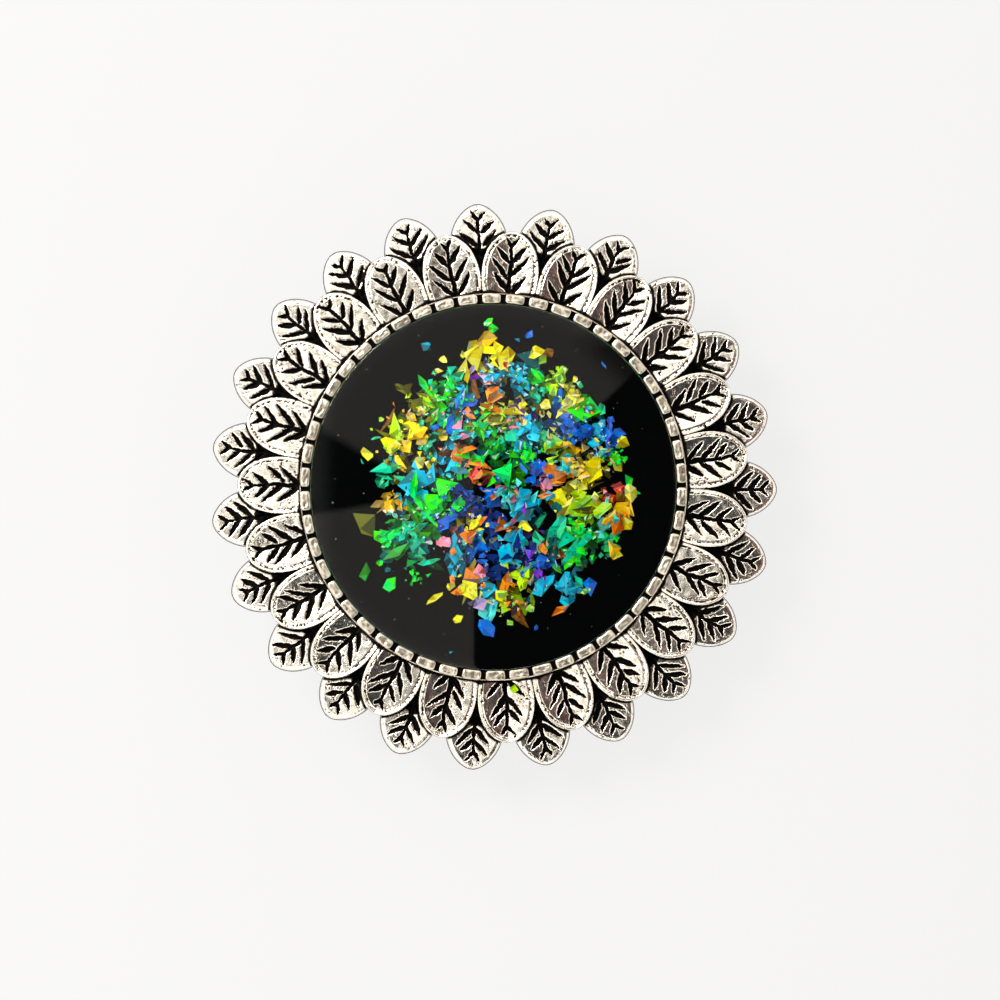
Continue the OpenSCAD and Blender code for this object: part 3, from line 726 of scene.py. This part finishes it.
spots = {
    "yellow": [(-1.4, 10.6, 2.2), (-1, 9.8, 1.4), (1, 10.5, 1.8), (-4.5, 9.5, .6), (1.5, 6, 1.6),
               (3.5, 11, 1.3), (6.5, 7.5, 1.2), (-8.5, 3.5, 1.6), (-6, 2, 1.5), (-1.5, -3, 1),
               (8, 1.5, 2.6), (9, 3, .8), (5.5, -1, 2.6), (10, -5.5, 1.2), (-2, -8.5, 1.8), (.5, -9, 1),
               (7.4, .2, 1.6), (-6.8, 5.2, 1.2)],
    "gold": [(-6.5, 4.5, 2), (10.5, -2, 2.2), (-.5, 12, 1.8), (-8.5, -1.5, 1.5), (6.5, 2, 1.8)],
    "cream": [(6, 6.5, 1.5), (0, 5.4, 1.1), (2.6, 5.4, 1)],
    "orange": [(0, 7.5, 1.6), (-2, 6, 1.2), (-3, 2.5, 1.5), (-1.5, 2, 1.8), (-2, -4, 1.5), (.9, -3, 2),
               (4, -5, 1.1), (5, -5, .6), (5, 1, 2.3), (-1.5, -7.5, 2), (1, -9.5, 1), (5.5, -10, 1),
               (8, 6, .7), (10.2, -3, 1.6)],
    "red": [(1, 10, .6), (-1.5, 1, 1.2), (9.5, -1, 1.3)],
    "brown": [(-8.5, 5.5, 1.2), (4.5, 11, .9), (2, -10.5, 1.8)],
    "lime": [(-5.5, 7, 1.2), (-8, 4.5, 1.8), (.5, 6, 1.2), (4, 10.5, .9), (5, 8, 1.4), (5, 3.5, 1.8),
             (7.5, -1.5, 2.4), (2, -7, 2), (7.5, -8.5, .7), (1, -10, 1), (3, -10, .8), (5.5, 9, 1.1)],
    "olive": [(-6, 6.5, 2), (0, 5.6, 1.7), (-7.5, 2, 1.2), (-10.5, -3, 2.6), (6.8, 2.6, 1.7)],
    "green": [(.2, 3.4, 1.5), (2.6, 2.6, 1.2), (0, 13, .9), (-.4, 13.5, .7), (-3.5, 8, 1.8),
              (-4.5, 6.5, 1.4), (-1, 5, 2), (3.5, 9, 1.4), (7.5, 6.5, 2.4), (-4, 0, 2.5),
              (-5, -1.5, 2.4), (1, 1, 2.2), (10, 2.5, 1), (11, .5, 1.1), (11.5, -.5, .9),
              (7, -3.5, 1.2), (9, -4, 1.8), (6.5, -6, 1.2), (-8.5, -8, 1.2), (-6.5, -7.5, .8),
              (-8.8, -4.2, 1.8)],
    "leaf": [(-10.5, -7, 1.3), (-8.2, -4.9, 2.2), (-6, -3.5, 1.8)],
    "teal": [(1.4, 4.2, 1.5), (-5.4, 3.4, 1.1), (-3, 9, 1.6), (-5, 8, 1.2), (-4, 5.5, 1.4),
             (3.5, 7.5, 1), (7, 6, 1.6), (4, 4, 1.2), (-9, 1.5, 1.6), (-6, -4.5, 2.2), (5.5, -4, 2.8),
             (9.5, -5, 1.3), (-7.2, -3.2, 1.4)],
    "deepTeal": [(3, 10.5, 2.2), (4.9, -4.8, 1.8), (-8.6, -5.6, 1.6)],
    "cyan": [(2.4, 3.6, 1.7), (3.4, 4.8, 1.3), (-5.5, 11.5, .9), (-2.5, 7.5, 1.4), (0, 9, 1.3),
             (-2, 4.5, 1.4), (2, 12, .5), (1.5, 9.5, .9), (2.2, 9.3, .9), (2.5, 8.5, 1.2),
             (8.5, 4.5, 1.5), (-6.5, .5, 2.4), (-3.5, 2, 1.8), (-7.5, -1.5, 1.1), (-3, -5.5, 1.7),
             (2.5, -1.5, 2.6), (1.2, -5.3, 1.8), (4, -8, 1.7), (6, -8, 2.2), (-.5, -8.5, 1.4),
             (-3.5, -13.5, .4)],
    "ice": [(2, 4.7, 1.4), (6, 2, 1.2), (9, -3, 1.4), (-.5, -10, 2), (1, -.8, 1.2)],
    "blue": [(3, 12.5, .8), (-2, 7, 1.4), (-3.5, 5, 1.2), (6, 5, 2), (9.5, 4, 1.7), (-4, -3, 1.5),
             (0, -1, 1.8), (-1, -5, 1.4), (3.5, 1.5, 1.7), (4, -6, 1.6), (8, -8, 1.6),
             (-.5, -11.5, 1.7), (3.5, -11.5, .5), (9, 10, .4), (7.2, 4.6, 1.8), (-2.4, -1.2, 1.4)],
    "navy": [(-.5, -3, 2.4), (3, -6, 2), (-1.5, -1.5, 2), (0.8, -6.6, 1.6), (6.4, 4.2, 1.6)],
    "violet": [(2.5, 6, 1.2), (3, -5.4, 1.4)],
    "pink": [(-3, 5.1, 1.6), (1.5, -1, 1.1), (-4, -4.5, 1.1), (1.6, 5.3, 1.1), (4.4, .2, 1.2),
             (-1, -7, 1.3)],
    "lilac": [(-.5, 9, 1.3), (-1, -9.6, 1.4)],
}
scarceTones = ("orange", "red", "brown", "pink", "lilac", "cream", "ice")
darkTones = ("navy", "olive", "brown", "deepTeal", "leaf")
flakes = {
    "tilt": 16, "crumple": 0.09, "thick": 0.02, "lowest": 0.1, "cover": 0.12, "strip": 2.4,
    "paintedGlint": 0.07, "shade": (0.3, 1.35), "hueTurn": 0.16, "grow": 1.12, "darkLevel": (0.05, 0.35),
    "brightLevel": (0.25, 0.75), "aloneSize": 0.7, "aloneR": 10.9, "shardR": 11.2, "shardSpread": 0.72,
    "sameTone": 0.7, "shards": {"gold": 7, "orange": 3, "lime": 9.5, "green": 10.5, "teal": 8,
                                "cyan": 6, "blue": 8, "violet": 2},
}
# small chips between the large flakes: dark ones deep down, which leave out one spot, then bright
# ones high up. A level is a share of the clear resin's depth
chipLayers = [
    {"count": 1300, "scatter": 0.75, "level": (0.04, 0.14), "size": (0.5, 1.5), "strips": 0.5,
     "dim": (0.06, 0.42), "hole": 0.9},
    {"count": 420, "scatter": 0.6, "level": (0.75, 1.1), "size": (0.18, 0.5), "strips": 0.6,
     "dim": (0.3, 1.3), "hole": 0.0},
]
chips = {"spotR": 11, "often": 3, "middle": (0.6, 0.2), "reach": 9.9, "holeAt": (0.2, -2.4)}


def flakeShape(rng, x, y, z, size, tone, strip, dim=1.0):
    corners = int(rng.integers(3, 7))
    angles = np.sort(np.linspace(0, 2 * np.pi, corners, endpoint=False) + rng.uniform(-0.45, 0.45, corners))
    reach = rng.uniform(0.6, 1.0, corners) * size / 2
    long = rng.uniform(1.1, flakes["strip"]) if strip else rng.uniform(1.0, 1.3)
    ring = np.stack([reach * np.cos(angles) * long, reach * np.sin(angles) / math.sqrt(long),
                     rng.uniform(-1, 1, corners) * flakes["crumple"] * size * 0.7], -1)
    nudge = rng.uniform(-0.2, 0.2, 2) * size
    middle = ring.mean(0) + [*nudge, rng.uniform(-1, 1) * flakes["crumple"] * size]
    lean = np.radians(rng.uniform(-flakes["tilt"], flakes["tilt"], 2))
    spin = rng.uniform(0, 2 * np.pi)
    upper = np.vstack([ring, middle])
    c, s = math.cos(spin), math.sin(spin)
    upper = upper @ np.array([[c, s, 0], [-s, c, 0], [0, 0, 1]])
    upper[:, 2] += upper[:, 0] * math.tan(lean[0]) + upper[:, 1] * math.tan(lean[1])
    upper += [x, y, z]
    r = np.hypot(upper[:, 0], upper[:, 1])
    lowest = clearZ + flakes["lowest"]
    upper[:, 2] = np.clip(upper[:, 2], lowest, domeHeight(r) - flakes["cover"])
    lower = upper - [0, 0, flakes["thick"]]
    faces, shades = [], []
    base = np.array(tones[tone])
    first, n = corners + 1, corners
    for i in range(n):
        j = (i + 1) % n
        shade = base * rng.uniform(*flakes["shade"]) * dim
        # painted glint: a few facets of small flakes are whitened
        if size < 1 and rng.random() < flakes["paintedGlint"]:
            shade = base * 0.4 + 0.5
        turn = rng.uniform(-flakes["hueTurn"], flakes["hueTurn"]) * base.max() * dim
        shade = np.clip(shade + [turn * 0.5, -turn * 0.3, -turn], 0.0, 1.0)
        faces += [[n, i, j], [first + n, first + j, first + i], [i, first + i, first + j, j]]
        shades += [shade] * 3
    return np.vstack([upper, lower]), faces, shades


def filmMaterial(name):
    material, tree, shader = newMaterial(name)
    tint = node(tree, "ShaderNodeAttribute", attribute_name="film").outputs["Color"]
    streak = noise(tree, 1 / (0.25 * mm), 3, 0.6)
    colour = node(tree, "ShaderNodeHueSaturation", Saturation=1.0)
    tree.links.new(tint, colour.inputs["Color"])
    tree.links.new(fit(tree, streak, 0.3, 0.7, 0.485, 0.515), colour.inputs["Hue"])
    tree.links.new(fit(tree, streak, 0.25, 0.7, 0.9, 1.15), colour.inputs["Value"])
    tree.links.new(colour.outputs["Color"], shader.inputs["Base Color"])
    shader.inputs["Metallic"].default_value = 0.0
    shader.inputs["Specular IOR Level"].default_value = 0.06
    tree.links.new(fit(tree, streak, 0.3, 0.7, 0.2, 0.42), shader.inputs["Roughness"])
    tree.links.new(bump(tree, streak, 0.25, 0.02 * mm), shader.inputs["Normal"])
    return material


def flakePiece(label, nodeName, shapes, material):
    heap, shades = Heap(), []
    for points, faces, colours in shapes:
        heap.add(points, faces)
        for face, colour in zip(faces, colours):
            shades += [[*colour, 1.0]] * len(face)
    piece = makePiece(label, heap, material, nodeName, flat=True)
    paint = piece.data.attributes.new("film", "FLOAT_COLOR", "CORNER")
    paint.data.foreach_set("color", np.array(shades, np.float32).ravel())
    return piece


def chipShapes(rng):
    # the small chips of both layers, by family
    room = edgeZ - clearZ
    known = [(tone, x, y) for tone, places in spots.items() for x, y, size in places
             if math.hypot(x, y) < chips["spotR"]
             for _ in range(1 if tone in scarceTones else chips["often"])]
    familyOf = {tone: family for family, names in families.items() for tone in names}
    made = {family: [] for family in families}
    for layer in chipLayers:
        for _ in range(layer["count"]):
            tone, x, y = known[int(rng.integers(len(known)))]
            place = np.array([x, y]) + rng.normal(0, layer["scatter"], 2)
            if math.dist(place, chips["middle"]) > chips["reach"]:
                continue
            if math.dist(place, chips["holeAt"]) < layer["hole"]:
                continue
            z = clearZ + room * rng.uniform(*layer["level"])
            size = rng.uniform(*layer["size"])
            strip = rng.random() < layer["strips"]
            shape = flakeShape(rng, *place, z, size, tone, strip, rng.uniform(*layer["dim"]))
            made[familyOf[tone]].append(shape)
    return made


def clusterShapes(rng, colour, tone, names, x, y, size):
    # one large flake and the shards scattered round it
    room = edgeZ - clearZ
    level = rng.uniform(*flakes["darkLevel" if tone in darkTones else "brightLevel"])
    strip = size < 1.9 and rng.random() < 0.3
    shapes = [flakeShape(rng, x, y, clearZ + room * level, size * flakes["grow"], tone, strip)]
    if math.hypot(x, y) > flakes["aloneR"] or size < flakes["aloneSize"]:
        return shapes
    for _ in range(rng.poisson(flakes["shards"][colour])):
        step = rng.normal(0, flakes["shardSpread"] * size * 0.75, 2)
        near = tone if rng.random() < flakes["sameTone"] else names[int(rng.integers(len(names)))]
        spot = np.array([x, y]) + step
        spot *= min(1.0, flakes["shardR"] / np.hypot(*spot))
        small = size * rng.uniform(0.22, 0.8) ** 1.2
        z = clearZ + room * rng.uniform(0.1, 1.0)
        shapes.append(flakeShape(rng, *spot, z, small, near, rng.random() < 0.5))
    return shapes


def makeFlakes():
    rng = np.random.default_rng(11)
    made = chipShapes(rng)
    for family, names in families.items():
        colour = family.removeprefix("flakes_")
        shapes = made[family]
        for tone in names:
            for x, y, size in spots[tone]:
                shapes += clusterShapes(rng, colour, tone, names, x, y, size)
        flakePiece(colour + "_film", family, shapes, filmMaterial(family + "Film"))
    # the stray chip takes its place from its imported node
    low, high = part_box("stray_flake")
    x, y, z = (low + high) / 2 / mm
    stray = flakeShape(rng, x, y, 0, 1.1, "lime", False)
    stray[0][:, 2] += high.z / mm - stray[0][:, 2].max() + 0.02
    flakePiece("stray_chip", "stray_flake", [stray], filmMaterial("strayFilm"))
    print("flakes done")


makeFlakes()

# Pin back and glue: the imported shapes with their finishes
pinBack = {
    "steel": (0.70, 0.69, 0.67), "steelRough": 0.26, "wire": (0.80, 0.80, 0.79), "wireRough": 0.14,
    "worn": 0.72, "brush": (300, 9000, 9000),
    "glueDark": (0.74, 0.68, 0.48), "gluePale": (0.86, 0.82, 0.66),
}


def platedSteel(name, colour, rough):
    material, tree, shader = newMaterial(name)
    wear = noise(tree, 1 / (0.6 * mm), 5, 0.65)
    lines = node(tree, "ShaderNodeTexNoise", Scale=1.0, Detail=3.0)
    coords = node(tree, "ShaderNodeTexCoord")
    stretch = node(tree, "ShaderNodeMapping")
    stretch.inputs["Scale"].default_value = pinBack["brush"]
    tree.links.new(coords.outputs["Object"], stretch.inputs["Vector"])
    tree.links.new(stretch.outputs[0], lines.inputs["Vector"])
    darker = tuple(c * pinBack["worn"] for c in colour)
    shown = blendColours(tree, fit(tree, wear, 0.42, 0.78), colour, darker)
    tree.links.new(shown, shader.inputs["Base Color"])
    shader.inputs["Metallic"].default_value = 1.0
    tree.links.new(fit(tree, wear, 0.3, 0.7, rough, rough + 0.14), shader.inputs["Roughness"])
    tree.links.new(bump(tree, lines.outputs["Fac"], 0.18, 0.02 * mm), shader.inputs["Normal"])
    return material


def glueMaterial():
    material, tree, shader = newMaterial("dryGlue")
    cloud = noise(tree, 1 / (0.9 * mm), 4)
    colour = blendColours(tree, fit(tree, cloud, 0.3, 0.75), pinBack["glueDark"], pinBack["gluePale"])
    tree.links.new(colour, shader.inputs["Base Color"])
    tree.links.new(fit(tree, cloud, 0.3, 0.7, 0.18, 0.4), shader.inputs["Roughness"])
    tree.links.new(bump(tree, cloud, 0.4, 0.1 * mm), shader.inputs["Normal"])
    return material


def dressNodes():
    steel = platedSteel("platedSteel", pinBack["steel"], pinBack["steelRough"])
    wire = platedSteel("brightWire", pinBack["wire"], pinBack["wireRough"])
    glue = glueMaterial()
    finishes = {"pin_bar": steel, "hinge_rivet": steel, "catch": steel, "lock_barrel": steel,
                "pin_stem": wire, "bar_glue": glue, "cabochon_glue": glue}
    for name, finish in finishes.items():
        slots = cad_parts[name].data.materials
        slots.clear()
        slots.append(finish)
    print("pin back dressed")


dressNodes()

# Floor, light and camera
stage = {
    "floor": 0.07, "floorReach": 1.2, "glow": 0.795, "glowFade": 0.35, "glowMost": 0.85, "glowLeast": 0.6,
    "camHigh": 350, "across": 81.97, "aim": (0.54, -1.07), "film": 36,
    "keyPower": 2.0, "keyFrom": (-260, 200, 330), "keySize": 180,
    "skyTop": 1.18, "skySide": 1.9, "skyDark": 0.047, "skyDim": 0.33,
    "skyTint": (1.0, 0.957, 0.87), "darkTint": (0.86, 0.95, 1.0), "redTint": (0.40, 0.13, 0.08),
}


def makeFloor():
    mesh = bpy.data.meshes.new("paper_floor")
    reach = stage["floorReach"]
    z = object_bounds()[0].z
    corners = [(x * reach, y * reach, z) for x, y in ((-1, -1), (1, -1), (1, 1), (-1, 1))]
    mesh.from_pydata(corners, [], [[0, 1, 2, 3]])
    material, tree, shader = newMaterial("palePaper")
    fibre = noise(tree, 1 / (0.8 * mm), 5, 0.7)
    tone = stage["floor"]
    pale = (tone, tone * 0.998, tone * 0.992)
    colour = blendColours(tree, fibre, pale, (tone * 0.975, tone * 0.973, tone * 0.965))
    tree.links.new(colour, shader.inputs["Base Color"])
    shader.inputs["Roughness"].default_value = 0.85
    shader.inputs["Specular IOR Level"].default_value = 0.0
    # painted light: the paper glows as if lit from below, which lifts the cast shadow, and a little less to
    # the right as a painted falloff
    shader.inputs["Emission Color"].default_value = (1, 1, 0.995, 1)
    parts = node(tree, "ShaderNodeSeparateXYZ")
    tree.links.new(node(tree, "ShaderNodeTexCoord").outputs["Object"], parts.inputs[0])
    fade = reckon(tree, "MULTIPLY", parts.outputs[0], stage["glowFade"])
    glow = reckon(tree, "MINIMUM", reckon(tree, "SUBTRACT", stage["glow"], fade), stage["glowMost"])
    glow = reckon(tree, "MAXIMUM", glow, stage["glowLeast"])
    tree.links.new(glow, shader.inputs["Emission Strength"])
    mesh.materials.append(material)
    floor = bpy.data.objects.new("paper_floor", mesh)
    bpy.context.scene.collection.objects.link(floor)


def makeSky():
    # a bright room with windows to the left and above, and a dark patch overhead to the lower right
    world = bpy.data.worlds.new("room")
    bpy.context.scene.world = world
    world.use_nodes = True
    tree = world.node_tree
    background = next(n for n in tree.nodes if n.type == "BACKGROUND")
    coords = node(tree, "ShaderNodeTexCoord")
    parts = node(tree, "ShaderNodeSeparateXYZ")
    tree.links.new(coords.outputs["Generated"], parts.inputs[0])
    dx, dy, dz = parts.outputs

    def times(x, y):
        return reckon(tree, "MULTIPLY", x, y)

    def below(x, edge, soft):
        return fit(tree, x, edge - soft, edge + soft, 1.0, 0.0)

    def above(x, edge, soft):
        return fit(tree, x, edge - soft, edge + soft)

    # the dark patch to the right of one straight edge and below a slanting one
    overhead = fit(tree, dz, 0.62, 0.8)
    rise = times(reckon(tree, "SUBTRACT", dx, 0.14), 0.95)
    slant = reckon(tree, "SUBTRACT", dy, reckon(tree, "MAXIMUM", rise, 0.0))
    dark = times(times(above(dx, -0.042, 0.003), below(slant, 0.097, 0.006)), overhead)
    # a dark bar on the left that widens away from the middle
    out = reckon(tree, "ADD", dx, 0.22)
    top = reckon(tree, "ADD", dy, times(out, 0.55))
    low = reckon(tree, "SUBTRACT", dy, times(out, 0.17))
    bar = times(times(below(top, 0.046, 0.012), above(low, -0.028, 0.006)), below(dx, -0.1, 0.05))
    dark = reckon(tree, "MAXIMUM", dark, times(bar, above(dx, -0.55, 0.05)))
    # the dimmer wall beside the dark patch
    wall = times(below(slant, 0.25, 0.05), below(dz, 0.94, 0.008))
    dim = times(times(above(dx, 0.1, 0.04), overhead), wall)
    strength = fit(tree, dz, 0.91, 0.938, stage["skySide"], stage["skyTop"])
    for part, level in ((dim, stage["skyDim"]), (dark, stage["skyDark"])):
        rest = times(strength, reckon(tree, "SUBTRACT", 1.0, part))
        strength = reckon(tree, "ADD", rest, times(part, level))
    # something red at the right, low in the dark patch
    red = times(times(dark, above(dx, 0.43, 0.03)), above(dz, 0.76, 0.05))
    colour = blendColours(tree, dark, stage["skyTint"], stage["darkTint"])
    colour = blendColours(tree, red, colour, stage["redTint"])
    strength = reckon(tree, "MAXIMUM", strength, red)
    tree.links.new(colour, background.inputs["Color"])
    tree.links.new(strength, background.inputs["Strength"])


def makeKeyLight():
    data = bpy.data.lights.new("window_light", "AREA")
    data.energy = stage["keyPower"]
    data.size = stage["keySize"] * mm
    data.color = (1.0, 0.99, 0.97)
    light = bpy.data.objects.new("window_light", data)
    light.location = Vector(stage["keyFrom"]) * mm
    light.rotation_euler = (-light.location).to_track_quat("-Z", "Y").to_euler()
    bpy.context.scene.collection.objects.link(light)


def makeCamera():
    data = bpy.data.cameras.new("camera")
    camera = bpy.data.objects.new("camera", data)
    data.sensor_width = stage["film"]
    data.lens = data.sensor_width * stage["camHigh"] / stage["across"]
    camera.location = Vector((*stage["aim"], stage["camHigh"] + upperLeaf["top"])) * mm
    data.clip_start = 0.01
    bpy.context.scene.collection.objects.link(camera)
    bpy.context.scene.camera = camera


makeFloor()
makeSky()
makeKeyLight()
makeCamera()
bpy.context.scene.view_settings.view_transform = "Standard"
print("stage done")
